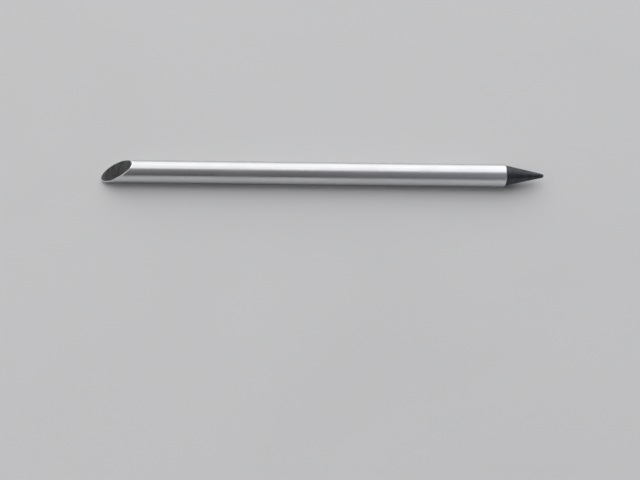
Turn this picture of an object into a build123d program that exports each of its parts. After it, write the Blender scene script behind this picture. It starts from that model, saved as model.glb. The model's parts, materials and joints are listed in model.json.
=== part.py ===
from build123d import *
import os
from math import asin, atan2, cos, hypot, radians, sin, tan

# Inkless metal pencil: a solid round bar, cut off at a slant at the back, whose metal point pulls out of the
# nose. It lies along X on its long side, point towards +X and slanted face up, and Z = 0 is the surface that
# it lies on.

# Whole pencil
overall_length = 150.0
barrel_diameter = 7.6

# Slanted end, the angle being the one between the flat face and the pencil's axis
slant_angle = 30.5
slant_edge_round = 0.35

# Nose, whose rounded edge leaves a flat ring that the tip's base covers
nose_edge_round = 0.35

# Writing tip, a cone with a blunt round point
tip_length = 13.1
tip_point_radius = 0.7
tip_base_round = 0.15

# Shank that carries the tip: the thick end pushes into the barrel and the spigot is fixed in the tip
shank_diameter = 4.7
shank_length = 8.3
shank_end_chamfer = 0.4
spigot_diameter = 2.6
spigot_length = 5.0
spigot_end_chamfer = 0.25

# Holes and fits, the clearances being radial
socket_clearance = 0.02
socket_end_room = 1.0
socket_mouth_chamfer = 0.2
spigot_clearance = 0.02
spigot_end_room = 0.3
spigot_mouth_chamfer = 0.1
drill_point_angle = 118.0

# Places along the pencil
barrel_radius = barrel_diameter / 2
toe_x = -overall_length / 2
point_x = overall_length / 2
nose_x = point_x - tip_length

# The pencil's axis, the upright plane through it, and the nose's end plane
pencil_axis = Axis((0, 0, barrel_radius), (1, 0, 0))
axis_plane = Plane((0, 0, barrel_radius), x_dir=(1, 0, 0), z_dir=(0, -1, 0))
nose_plane = Plane((nose_x, 0, barrel_radius), x_dir=(0, 1, 0), z_dir=(1, 0, 0))

# The slanted face starts ahead of the toe by what the edge round takes off that sharp corner
slant = radians(slant_angle)
toe_round_loss = slant_edge_round / tan(slant / 2) - slant_edge_round
slant_plane = Plane(
    (toe_x - toe_round_loss, 0, 0),
    x_dir=(cos(slant), 0, sin(slant)),
    z_dir=(-sin(slant), 0, cos(slant)),
)

# Straight side of the tip, from the base to where it runs tangent into the round point
tip_base_radius = barrel_radius - nose_edge_round
point_centre_x = point_x - tip_point_radius
point_centre_reach = point_centre_x - nose_x
tip_half_angle = atan2(tip_base_radius, point_centre_reach) - asin(
    tip_point_radius / hypot(tip_base_radius, point_centre_reach)
)
tip_side_end = (
    point_centre_x + tip_point_radius * sin(tip_half_angle),
    tip_point_radius * cos(tip_half_angle),
)

# Radii and depths of the fits
shank_radius = shank_diameter / 2
spigot_radius = spigot_diameter / 2
socket_radius = shank_radius + socket_clearance
socket_depth = shank_length + socket_end_room
spigot_hole_radius = spigot_radius + spigot_clearance
spigot_hole_depth = spigot_length + spigot_end_room


def drilled_hole(mouth_x, inwards, radius, depth, mouth_chamfer):
    """Half section of a blind drilled hole on the pencil's axis, going inwards (+1 or -1 along X)."""
    drill_point = radius / tan(radians(drill_point_angle / 2))
    with BuildSketch(axis_plane) as section:
        with BuildLine():
            Polyline(
                (mouth_x, 0),
                (mouth_x, radius + mouth_chamfer),
                (mouth_x + inwards * mouth_chamfer, radius),
                (mouth_x + inwards * depth, radius),
                (mouth_x + inwards * (depth + drill_point), 0),
                close=True,
            )
        make_face()
    return section.sketch


socket = drilled_hole(nose_x, -1, socket_radius, socket_depth, socket_mouth_chamfer)
spigot_hole = drilled_hole(nose_x, 1, spigot_hole_radius, spigot_hole_depth, spigot_mouth_chamfer)

# Barrel: round bar, slanted face with a rounded edge, rounded nose, drilled socket
with BuildPart() as barrel:
    with BuildSketch(nose_plane):
        Circle(barrel_radius)
    extrude(amount=slant_plane.origin.X - nose_x)
    split(bisect_by=slant_plane, keep=Keep.BOTTOM)
    end_faces = barrel.faces().filter_by(GeomType.PLANE).sort_by(Axis.X)
    fillet(end_faces[0].edges(), radius=slant_edge_round)
    fillet(barrel.faces().filter_by(nose_plane).edges(), radius=nose_edge_round)
    revolve(socket, axis=pencil_axis, mode=Mode.SUBTRACT)
barrel.part.label = "barrel"

# Writing tip: cone with a round point, a broken base edge and the spigot's hole
with BuildPart() as writing_tip:
    with BuildSketch(axis_plane):
        with BuildLine():
            side = Line((nose_x, tip_base_radius), tip_side_end)
            point = TangentArc(side @ 1, (point_x, 0), tangent=side % 1)
            Polyline(point @ 1, (nose_x, 0), side @ 0)
        make_face()
    revolve(axis=pencil_axis)
    fillet(writing_tip.faces().filter_by(nose_plane).edges(), radius=tip_base_round)
    revolve(spigot_hole, axis=pencil_axis, mode=Mode.SUBTRACT)
writing_tip.part.label = "writing_tip"

# Shank: turned pin with a thick push-fit end and a thin spigot
with BuildPart() as tip_shank:
    with BuildSketch(nose_plane):
        Circle(shank_radius)
    extrude(amount=-shank_length)
    with BuildSketch(nose_plane):
        Circle(spigot_radius)
    extrude(amount=spigot_length)
    end_faces = tip_shank.faces().filter_by(GeomType.PLANE).sort_by(Axis.X)
    chamfer(end_faces[0].edges(), length=shank_end_chamfer)
    chamfer(end_faces[-1].edges(), length=spigot_end_chamfer)
tip_shank.part.label = "tip_shank"

os.makedirs("parts", exist_ok=True)
export_step(barrel.part, "parts/barrel.step")
export_step(writing_tip.part, "parts/writing_tip.step")
export_step(tip_shank.part, "parts/tip_shank.step")
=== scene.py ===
import json
from math import asin, atan2, cos, hypot, pi, radians, sin, tan

import bmesh
import bpy
from mathutils import Matrix, Vector


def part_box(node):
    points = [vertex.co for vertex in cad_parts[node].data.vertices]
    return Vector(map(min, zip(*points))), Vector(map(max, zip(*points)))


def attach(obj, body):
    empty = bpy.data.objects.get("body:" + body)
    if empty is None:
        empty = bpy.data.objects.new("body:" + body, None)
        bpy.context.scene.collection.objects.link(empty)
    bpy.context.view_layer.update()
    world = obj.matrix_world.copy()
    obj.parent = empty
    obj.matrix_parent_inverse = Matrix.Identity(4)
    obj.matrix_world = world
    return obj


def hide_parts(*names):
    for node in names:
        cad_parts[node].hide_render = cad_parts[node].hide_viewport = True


# Inkless metal pencil, dressed over its frame: a satin aluminium barrel with a slanted end, a grey alloy
# writing tip, and the turned brass shank that carries the tip in the barrel's socket.
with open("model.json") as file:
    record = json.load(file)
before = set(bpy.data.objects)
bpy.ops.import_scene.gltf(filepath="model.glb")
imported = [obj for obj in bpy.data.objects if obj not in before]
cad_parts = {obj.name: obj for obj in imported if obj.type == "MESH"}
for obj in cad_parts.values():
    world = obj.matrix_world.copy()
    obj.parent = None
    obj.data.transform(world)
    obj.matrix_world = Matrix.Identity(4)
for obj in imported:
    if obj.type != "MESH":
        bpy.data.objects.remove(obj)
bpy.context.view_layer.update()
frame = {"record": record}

MM = 0.001

# Places and sizes that the frame gives
barrel_mount = frame["record"]["mounts"][0]
barrel_radius = barrel_mount["dims"]["r_mm"] * MM
axis_z = barrel_mount["pos_m"][2]
nose_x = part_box("writing_tip")[0].x
point_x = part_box("writing_tip")[1].x
shank_end_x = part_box("tip_shank")[0].x
spigot_end_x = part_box("tip_shank")[1].x

# Shank: a thick end that pushes into the barrel and a spigot that holds the tip
shank_radius = 2.35 * MM
shank_end_chamfer = 0.4 * MM
spigot_radius = 1.3 * MM
spigot_end_chamfer = 0.25 * MM

# Barrel: the slanted end, the rounded nose and the drilled socket
overall_length = 150 * MM
slant_angle = radians(30.5)
slant_edge_round = 0.35 * MM
nose_edge_round = 0.35 * MM
socket_clearance = 0.02 * MM
socket_radius = shank_radius + socket_clearance
socket_end_room = 1.0 * MM
socket_mouth_chamfer = 0.2 * MM

# Writing tip: a cone with a blunt round point, and the hole for the shank's spigot
tip_point_radius = 0.7 * MM
tip_base_round = 0.15 * MM
spigot_clearance = 0.02 * MM
spigot_hole_radius = spigot_radius + spigot_clearance
spigot_end_room = 0.3 * MM
spigot_mouth_chamfer = 0.1 * MM

# Point of the drill that leaves the floor of both holes
drill_point_angle = radians(118)

# Fineness of the meshes, each ring of the slanted face being a share of the ring outside it
sides = 192
edge_steps = 8
rim_steps = 14
face_ring_shares = (0.9, 0.6, 0.5)
wall_ring_spacing = 9 * MM
merge_gap = 0.0002 * MM
smooth_angle = radians(32)


# Modelling

def deselect_all():
    """Leaves nothing selected, so that an operator acts on the new piece alone."""
    bpy.ops.object.select_all(action="DESELECT")


def arc(centre, radius, start, end, steps):
    """Points (x, distance from the axis) along an arc of a profile, its angles going from +X outwards."""
    turns = [start + (end - start) * step / steps for step in range(steps + 1)]
    return [(centre[0] + radius * cos(turn), centre[1] + radius * sin(turn)) for turn in turns]


def draw_profile(name, points):
    """Draws half a section by pulling one vertex through its points (x, distance from the axis)."""
    deselect_all()
    first_x, first_radius = points[0]
    bpy.ops.mesh.primitive_plane_add(size=MM, location=(first_x, 0, axis_z + first_radius))
    piece = bpy.context.object
    piece.name = name
    piece.data.name = name
    bpy.ops.object.transform_apply(location=True, rotation=True, scale=True)
    bpy.ops.object.mode_set(mode="EDIT")
    bpy.ops.mesh.merge(type="CENTER")
    for (from_x, from_radius), (to_x, to_radius) in zip(points, points[1:]):
        step = (to_x - from_x, 0, to_radius - from_radius)
        bpy.ops.mesh.extrude_vertices_move(TRANSFORM_OT_translate={"value": step})
    return piece


def turn_on_axis():
    """Spins the profile round the pencil's axis, closes its seam and poles and points its faces outwards."""
    bpy.ops.mesh.select_all(action="SELECT")
    bpy.ops.mesh.spin(steps=sides, angle=2 * pi, center=(0, 0, axis_z), axis=(1, 0, 0))
    bpy.ops.mesh.select_all(action="SELECT")
    bpy.ops.mesh.remove_doubles(threshold=merge_gap)
    bpy.ops.mesh.normals_make_consistent(inside=False)


def finish_piece(piece, body, node, material):
    """Smooths a finished piece, gives it its material and sets it in the frame in place of its CAD node."""
    bpy.ops.object.mode_set(mode="OBJECT")
    bpy.ops.object.shade_smooth_by_angle(angle=smooth_angle)
    piece.data.materials.append(material)
    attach(piece, body)
    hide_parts(node)


# Slanted end of the barrel

# The slanted plane meets the underside beyond the toe, by what the edge round takes off that sharp corner
face_normal = Vector((-sin(slant_angle), 0, cos(slant_angle)))
toe_x = point_x - overall_length
toe_round_loss = slant_edge_round / tan(slant_angle / 2) - slant_edge_round
face_corner = Vector((toe_x - toe_round_loss, 0, axis_z - barrel_radius))


def rim_point(turn, sweep):
    """Point of the slanted face's rounded edge, where a ball rolls along it touching the wall and the face.

    The turn goes round the pencil from its top, and the sweep goes from the wall at 0 to the face at 1.
    """
    outwards = Vector((0, sin(turn), cos(turn)))
    ball_radius = slant_edge_round
    ball = Vector((0, 0, axis_z)) + (barrel_radius - ball_radius) * outwards
    height = ball.z - face_corner.z
    ball.x = face_corner.x + (height * cos(slant_angle) + ball_radius) / sin(slant_angle)
    return ball + ball_radius * outwards.slerp(face_normal, sweep)


def cut_at_slant(piece):
    """Cuts the bar off where the rolling ball touches its wall, and notes the turn of each cut point."""
    toe, heel = rim_point(pi, 0), rim_point(0, 0)
    cut_normal = (heel - toe).cross(Vector((0, 1, 0))).normalized()
    bpy.ops.mesh.select_all(action="SELECT")
    bpy.ops.mesh.bisect(plane_co=toe, plane_no=cut_normal, clear_outer=True, threshold=merge_gap)
    mesh = bmesh.from_edit_mesh(piece.data)
    turn = mesh.verts.layers.float.new("turn")
    for vertex in mesh.verts:
        if vertex.select:
            vertex[turn] = atan2(vertex.co.y, vertex.co.z - axis_z)


def roll_slanted_edge(piece):
    """Pulls the cut's edge over the rounded edge of the face, ring by ring."""
    for step in range(1, rim_steps + 1):
        bpy.ops.mesh.extrude_edges_move()
        mesh = bmesh.from_edit_mesh(piece.data)
        turn = mesh.verts.layers.float["turn"]
        for vertex in mesh.verts:
            if vertex.select:
                vertex.co = rim_point(vertex[turn], step / rim_steps)
        bmesh.update_edit_mesh(piece.data)


def mark_slanted_face(mesh):
    """Gives the flat slanted face a value of 1, which the barrel's material reads, and all other faces 0."""
    flat_cosine = 0.99999
    slanted_face = mesh.faces.layers.float.new("slanted_face")
    for face in mesh.faces:
        face[slanted_face] = float(face.normal.dot(face_normal) > flat_cosine)


def close_slanted_face(piece):
    """Closes the flat face with ever smaller rings, and marks it for the barrel's material."""
    face_middle = (rim_point(0, 1) + rim_point(pi, 1)) / 2
    for share in face_ring_shares:
        bpy.ops.mesh.extrude_edges_move()
        bpy.ops.transform.resize(value=(share, share, share), center_override=face_middle)
    bpy.ops.mesh.edge_face_add()
    bpy.ops.mesh.select_all(action="SELECT")
    bpy.ops.mesh.normals_make_consistent(inside=False)
    mesh = bmesh.from_edit_mesh(piece.data)
    mesh.verts.layers.float.remove(mesh.verts.layers.float["turn"])
    mark_slanted_face(mesh)


def make_barrel():
    """Round bar from the slanted end to the nose, with rounded edges and a drilled socket for the shank."""
    heel_x = rim_point(0, 0).x
    wall_end_x = nose_x - nose_edge_round
    wall_rings = round((wall_end_x - heel_x) / wall_ring_spacing)
    wall_xs = [heel_x + (wall_end_x - heel_x) * ring / wall_rings for ring in range(1, wall_rings)]
    nose_round_centre = (wall_end_x, barrel_radius - nose_edge_round)
    socket_floor_x = shank_end_x - socket_end_room
    points = [(face_corner.x, barrel_radius)]
    points += [(x, barrel_radius) for x in wall_xs]
    points += arc(nose_round_centre, nose_edge_round, pi / 2, 0, edge_steps)
    points += [
        (nose_x, socket_radius + socket_mouth_chamfer),
        (nose_x - socket_mouth_chamfer, socket_radius),
        (socket_floor_x, socket_radius),
        (socket_floor_x - socket_radius / tan(drill_point_angle / 2), 0),
    ]
    piece = draw_profile("barrel_bar", points)
    turn_on_axis()
    cut_at_slant(piece)
    roll_slanted_edge(piece)
    close_slanted_face(piece)
    return piece


def make_writing_tip():
    """Cone with a blunt round point, a broken base edge and the hole that holds the shank's spigot."""
    base_radius = barrel_radius - nose_edge_round
    point_centre_x = point_x - tip_point_radius
    reach = point_centre_x - nose_x
    half_angle = atan2(base_radius, reach) - asin(tip_point_radius / hypot(base_radius, reach))
    side_turn = pi / 2 - half_angle
    base_round_inset = tip_base_round * tan(pi / 4 + half_angle / 2)
    base_round_centre = (nose_x + tip_base_round, base_radius - base_round_inset)
    hole_floor_x = spigot_end_x + spigot_end_room
    points = [
        (hole_floor_x + spigot_hole_radius / tan(drill_point_angle / 2), 0),
        (hole_floor_x, spigot_hole_radius),
        (nose_x + spigot_mouth_chamfer, spigot_hole_radius),
        (nose_x, spigot_hole_radius + spigot_mouth_chamfer),
    ]
    points += arc(base_round_centre, tip_base_round, pi, side_turn, edge_steps)
    points += arc((point_centre_x, 0), tip_point_radius, side_turn, 0, edge_steps)
    piece = draw_profile("writing_tip_cone", points)
    turn_on_axis()
    return piece


def make_tip_shank():
    """Turned pin: a thick push-fit end with a chamfer, and the thin spigot that goes into the tip."""
    points = [
        (shank_end_x, 0),
        (shank_end_x, shank_radius - shank_end_chamfer),
        (shank_end_x + shank_end_chamfer, shank_radius),
        (nose_x, shank_radius),
        (nose_x, spigot_radius),
        (spigot_end_x - spigot_end_chamfer, spigot_radius),
        (spigot_end_x, spigot_radius - spigot_end_chamfer),
        (spigot_end_x, 0),
    ]
    piece = draw_profile("tip_shank_pin", points)
    turn_on_axis()
    return piece


# Shader nodes

def add_node(tree, kind, inputs, **settings):
    """Adds a node with its settings, and feeds each input from a value or from another node's output."""
    node = tree.nodes.new(kind)
    for name, setting in settings.items():
        setattr(node, name, setting)
    for name, source in inputs.items():
        if isinstance(source, bpy.types.NodeSocket):
            tree.links.new(source, node.inputs[name])
        else:
            node.inputs[name].default_value = source
    return node


def calculate(tree, operation, *values):
    """Result of one sum, product or other step of arithmetic on values."""
    inputs = dict(enumerate(values))
    return add_node(tree, "ShaderNodeMath", inputs, operation=operation).outputs[0]


def fade(tree, value, start, end):
    """Smooth rise from 0 where a value is at its start to 1 where it is at its end."""
    limits = {"Value": value, "From Min": start, "From Max": end}
    return add_node(tree, "ShaderNodeMapRange", limits, interpolation_type="SMOOTHSTEP").outputs["Result"]


# A mix node has sockets of the same names for each kind of data, so they are picked by number
def mix_values(tree, share, first, second):
    """Value that goes from the first to the second as the share goes from 0 to 1."""
    return add_node(tree, "ShaderNodeMix", {0: share, 2: first, 3: second}, data_type="FLOAT").outputs[0]


def mix_colours(tree, share, first, second):
    """Colour that goes from the first to the second as the share goes from 0 to 1."""
    return add_node(tree, "ShaderNodeMix", {0: share, 6: first, 7: second}, data_type="RGBA").outputs[2]


def sized_noise(tree, position, size, detail, scale=1, distortion=0):
    """Noise over a position that is first divided by a size, which may differ along X, Y and Z."""
    place = add_node(tree, "ShaderNodeVectorMath", {0: position, 1: size}, operation="DIVIDE").outputs[0]
    inputs = {"Vector": place, "Scale": scale, "Detail": detail, "Distortion": distortion}
    return add_node(tree, "ShaderNodeTexNoise", inputs).outputs["Fac"]


def new_group(name, inputs, outputs):
    """Empty shader node group with named sockets, and the places inside it where they start and end."""
    group = bpy.data.node_groups.new(name, "ShaderNodeTree")
    for socket, kind in inputs.items():
        group.interface.new_socket(socket, in_out="INPUT", socket_type=kind)
    for socket in outputs:
        group.interface.new_socket(socket, in_out="OUTPUT", socket_type="NodeSocketFloat")
    return group, group.nodes.new("NodeGroupInput").outputs, group.nodes.new("NodeGroupOutput").inputs


def use_group(tree, group, **inputs):
    """Places a shared node group in a material, and gives its one output."""
    return add_node(tree, "ShaderNodeGroup", inputs, node_tree=group).outputs[0]


def make_metal_grain():
    """Grain of its own size along X, Y and Z, so that it can be dots, lengthwise lines or turning rings."""
    inputs = {"Position": "NodeSocketVector", "Size": "NodeSocketVector"}
    group, given, result = new_group("metal_grain", inputs, ["Grain"])
    noise = sized_noise(group, given["Position"], given["Size"], detail=3)
    group.links.new(fade(group, noise, 0.25, 0.75), result["Grain"])
    return group


def make_handling_patches():
    """Soft patches left by hands, from 0 on clean metal to 1 in the middle of a patch."""
    inputs = {"Position": "NodeSocketVector", "Size": "NodeSocketFloat"}
    group, given, result = new_group("handling_patches", inputs, ["Patch"])
    noise = sized_noise(group, given["Position"], given["Size"], detail=2, distortion=0.6)
    group.links.new(fade(group, noise, 0.42, 0.7), result["Patch"])
    return group


def make_edge_wear():
    """Rubbed edge, from 1 on the edge to 0 a ragged width away from it."""
    inputs = {"Position": "NodeSocketVector", "Distance": "NodeSocketFloat", "Width": "NodeSocketFloat"}
    group, given, result = new_group("edge_wear", inputs, ["Wear"])
    noise = sized_noise(group, given["Position"], given["Width"], detail=2, scale=0.6)
    share = calculate(group, "DIVIDE", given["Distance"], given["Width"])
    ragged = calculate(group, "ADD", share, noise)
    group.links.new(fade(group, ragged, 1.4, 0.4), result["Wear"])
    return group


metal_grain = make_metal_grain()
handling_patches = make_handling_patches()
edge_wear = make_edge_wear()


# Materials

def new_material(name, metallic):
    """Node material with a Principled shader, and the position on the piece in metres."""
    material = bpy.data.materials.new(name)
    material.use_nodes = True
    tree = material.node_tree
    tree.nodes["Principled BSDF"].inputs["Metallic"].default_value = metallic
    position = tree.nodes.new("ShaderNodeTexCoord").outputs["Object"]
    return material, tree, position


def set_surface(tree, colour, roughness, height, relief):
    """Feeds colour and roughness to the shader, and a height map with its relief in metres to its bump."""
    shader = tree.nodes["Principled BSDF"]
    bump = add_node(tree, "ShaderNodeBump", {"Height": height, "Distance": relief})
    tree.links.new(colour, shader.inputs["Base Color"])
    tree.links.new(roughness, shader.inputs["Roughness"])
    tree.links.new(bump.outputs["Normal"], shader.inputs["Normal"])


def satin_aluminium():
    """Satin aluminium bar with faint draw lines, a smoother milled face at its slant that is partly darkened
    with painted shade, and rubbed edges.
    """
    material, tree, position = new_material("satin_aluminium", metallic=1)
    along = add_node(tree, "ShaderNodeSeparateXYZ", {"Vector": position}).outputs["X"]
    on_face = add_node(tree, "ShaderNodeAttribute", {}, attribute_name="slanted_face").outputs["Fac"]

    lines = use_group(tree, metal_grain, Position=position, Size=(30 * MM, 0.5 * MM, 0.5 * MM))
    satin = use_group(tree, metal_grain, Position=position, Size=(0.25 * MM, 0.2 * MM, 0.2 * MM))
    texture = mix_values(tree, 0.5, lines, satin)
    patches = use_group(tree, handling_patches, Position=position, Size=11 * MM)
    turned = add_node(tree, "ShaderNodeMapping", {"Vector": position, "Rotation": (0, slant_angle, 0)})
    milling = use_group(tree, metal_grain, Position=turned.outputs[0], Size=(0.25 * MM, 9 * MM, 9 * MM))

    # The flat face counts as 1 m from its own rim, so that only the rounded edge is rubbed
    above_face = add_node(tree, "ShaderNodeVectorMath", {0: position, 1: face_corner}, operation="SUBTRACT")
    face_level = add_node(
        tree, "ShaderNodeVectorMath", {0: above_face.outputs[0], 1: face_normal}, operation="DOT_PRODUCT"
    )
    from_rim = calculate(tree, "SUBTRACT", on_face, face_level.outputs["Value"])
    from_nose = calculate(tree, "SUBTRACT", nose_x, along)
    from_edge = calculate(tree, "MINIMUM", from_rim, from_nose)
    wear = use_group(tree, edge_wear, Position=position, Distance=from_edge, Width=0.4 * MM)

    wall_colour = mix_colours(tree, texture, (0.675, 0.68, 0.69, 1), (0.845, 0.85, 0.86, 1))
    handled_colour = mix_colours(tree, patches, wall_colour, (0.74, 0.743, 0.75, 1))
    # The slanted face is coloured darker than the wall: partly its own milled tone, partly painted shade
    milled_face_and_painted_shade_colour = mix_colours(tree, milling, (0.62, 0.625, 0.635, 1), (0.76, 0.765, 0.775, 1))
    bar_colour = mix_colours(tree, on_face, handled_colour, milled_face_and_painted_shade_colour)
    colour = mix_colours(tree, wear, bar_colour, (0.86, 0.86, 0.865, 1))

    wall_roughness = mix_values(tree, texture, 0.38, 0.26)
    handled_roughness = mix_values(tree, patches, wall_roughness, 0.36)
    face_roughness = mix_values(tree, milling, 0.1, 0.17)
    bar_roughness = mix_values(tree, on_face, handled_roughness, face_roughness)
    roughness = mix_values(tree, wear, bar_roughness, 0.2)

    face_height = calculate(tree, "MULTIPLY", milling, 0.3)
    height = mix_values(tree, on_face, texture, face_height)
    set_surface(tree, colour, roughness, height, relief=0.008 * MM)
    return material


def writing_alloy():
    """Dark grey writing alloy with fine turning rings, and a point that paper has rubbed lighter."""
    material, tree, position = new_material("writing_alloy", metallic=1)
    along = add_node(tree, "ShaderNodeSeparateXYZ", {"Vector": position}).outputs["X"]

    rings = use_group(tree, metal_grain, Position=position, Size=(0.35 * MM, 7 * MM, 7 * MM))
    patches = use_group(tree, handling_patches, Position=position, Size=2.5 * MM)
    from_point = calculate(tree, "SUBTRACT", point_x, along)
    rubbed = use_group(tree, edge_wear, Position=position, Distance=from_point, Width=1.3 * MM)

    ring_colour = mix_colours(tree, rings, (0.064, 0.066, 0.072, 1), (0.098, 0.101, 0.11, 1))
    handled_colour = mix_colours(tree, patches, ring_colour, (0.07, 0.07, 0.076, 1))
    colour = mix_colours(tree, rubbed, handled_colour, (0.2, 0.202, 0.21, 1))
    ring_roughness = mix_values(tree, rings, 0.44, 0.36)
    handled_roughness = mix_values(tree, patches, ring_roughness, 0.46)
    roughness = mix_values(tree, rubbed, handled_roughness, 0.3)
    set_surface(tree, colour, roughness, rings, relief=0.008 * MM)
    return material


def turned_brass():
    """Turned brass with fine rings, a little brown tarnish and bright edges."""
    material, tree, position = new_material("turned_brass", metallic=1)
    along = add_node(tree, "ShaderNodeSeparateXYZ", {"Vector": position}).outputs["X"]

    rings = use_group(tree, metal_grain, Position=position, Size=(0.25 * MM, 9 * MM, 9 * MM))
    tarnish = use_group(tree, handling_patches, Position=position, Size=4 * MM)
    from_end = calculate(tree, "SUBTRACT", along, shank_end_x)
    from_shoulder = calculate(tree, "ABSOLUTE", calculate(tree, "SUBTRACT", nose_x, along))
    from_edge = calculate(tree, "MINIMUM", from_end, from_shoulder)
    wear = use_group(tree, edge_wear, Position=position, Distance=from_edge, Width=0.45 * MM)

    ring_colour = mix_colours(tree, rings, (0.69, 0.43, 0.178, 1), (0.75, 0.475, 0.205, 1))
    tarnished_colour = mix_colours(tree, tarnish, ring_colour, (0.64, 0.39, 0.158, 1))
    colour = mix_colours(tree, wear, tarnished_colour, (0.82, 0.58, 0.3, 1))
    ring_roughness = mix_values(tree, rings, 0.3, 0.22)
    tarnished_roughness = mix_values(tree, tarnish, ring_roughness, 0.34)
    roughness = mix_values(tree, wear, tarnished_roughness, 0.2)
    set_surface(tree, colour, roughness, rings, relief=0.002 * MM)
    return material


def pale_floor():
    """Plain pale board with the faintest clouding and grain."""
    material, tree, position = new_material("pale_floor", metallic=0)
    clouds = use_group(tree, handling_patches, Position=position, Size=90 * MM)
    grain = use_group(tree, metal_grain, Position=position, Size=(0.8 * MM, 0.8 * MM, 0.8 * MM))
    colour = mix_colours(tree, clouds, (0.72, 0.72, 0.715, 1), (0.705, 0.705, 0.7, 1))
    roughness = mix_values(tree, grain, 0.7, 0.8)
    set_surface(tree, colour, roughness, grain, relief=0.01 * MM)
    return material


# Stage, light and camera

def make_floor():
    """Plain pale floor that the pencil lies on."""
    floor_radius = 2.5
    floor_sides = 128
    deselect_all()
    bpy.ops.mesh.primitive_circle_add(
        vertices=floor_sides, radius=floor_radius, fill_type="NGON", location=(0, 0, 0)
    )
    floor = bpy.context.object
    floor.name = "floor"
    floor.data.materials.append(pale_floor())


def add_softbox(name, turn, elevation, width, height, brightness):
    """Even rectangular lamp that faces the pencil, at a turn from behind it towards its slanted end."""
    distance = 2.5
    lamp = bpy.data.lights.new(name, "AREA")
    lamp.shape = "RECTANGLE"
    lamp.size, lamp.size_y = width, height
    lamp.energy = brightness * pi * width * height
    level = distance * cos(elevation)
    softbox = bpy.data.objects.new(name, lamp)
    softbox.location = (-level * sin(turn), level * cos(turn), distance * sin(elevation))
    softbox.rotation_euler = (-softbox.location).to_track_quat("-Z", "Y").to_euler()
    softbox.visible_camera = False
    bpy.context.scene.collection.objects.link(softbox)


def light_studio():
    """Softboxes behind, above and at the slanted end, in a dim room with a low pale backdrop all round."""
    add_softbox("back_softbox", 0, radians(33), width=5.9, height=2.12, brightness=1.16)
    add_softbox("top_softbox", 0, radians(77), width=4.4, height=1.95, brightness=1.04)
    add_softbox("side_softbox", radians(100), radians(36), width=2.4, height=1.4, brightness=0.9)

    world = bpy.data.worlds.new("studio")
    world.use_nodes = True
    tree = world.node_tree
    direction = tree.nodes.new("ShaderNodeTexCoord").outputs["Generated"]
    parts = add_node(tree, "ShaderNodeSeparateXYZ", {"Vector": direction}).outputs
    towards_point = fade(tree, parts["X"], -0.1, 0.4)
    above_backdrop = fade(tree, parts["Z"], 0.05, 0.1)
    high_up = fade(tree, parts["Z"], 0.15, 0.6)
    backdrop_colour = (0.45, 0.45, 0.453, 1)
    low_colour = mix_colours(tree, towards_point, (0.016, 0.015, 0.016, 1), (0.12, 0.126, 0.14, 1))
    high_colour = mix_colours(tree, towards_point, (0.128, 0.12, 0.123, 1), (0.245, 0.26, 0.3, 1))
    room_colour = mix_colours(tree, high_up, low_colour, high_colour)
    colour = mix_colours(tree, above_backdrop, backdrop_colour, room_colour)
    tree.links.new(colour, tree.nodes["Background"].inputs["Color"])
    bpy.context.scene.world = world


def place_camera():
    """Camera at the photograph's angle and framing, for a picture 640 wide and 480 high."""
    focal_pixels = 760
    picture_width = 640
    camera_data = bpy.data.cameras.new("photo_camera")
    camera_data.sensor_width = 36
    camera_data.lens = focal_pixels / picture_width * camera_data.sensor_width
    elevation = radians(55.2)
    roll = radians(0.66)
    aim = Vector((-0.1 * MM, -24.7 * MM, 0))
    distance = 245.3 * MM
    towards = Vector((0, cos(elevation), -sin(elevation)))
    camera = bpy.data.objects.new("photo_camera", camera_data)
    camera.matrix_world = (
        Matrix.Translation(aim - distance * towards)
        @ Matrix.Rotation(pi / 2 - elevation, 4, "X")
        @ Matrix.Rotation(roll, 4, "Z")
    )
    bpy.context.scene.collection.objects.link(camera)
    bpy.context.scene.camera = camera


finish_piece(make_barrel(), "barrel", "barrel", satin_aluminium())
finish_piece(make_writing_tip(), "tip", "writing_tip", writing_alloy())
finish_piece(make_tip_shank(), "tip", "tip_shank", turned_brass())
make_floor()
light_studio()
place_camera()
bpy.context.scene.view_settings.view_transform = "Standard"
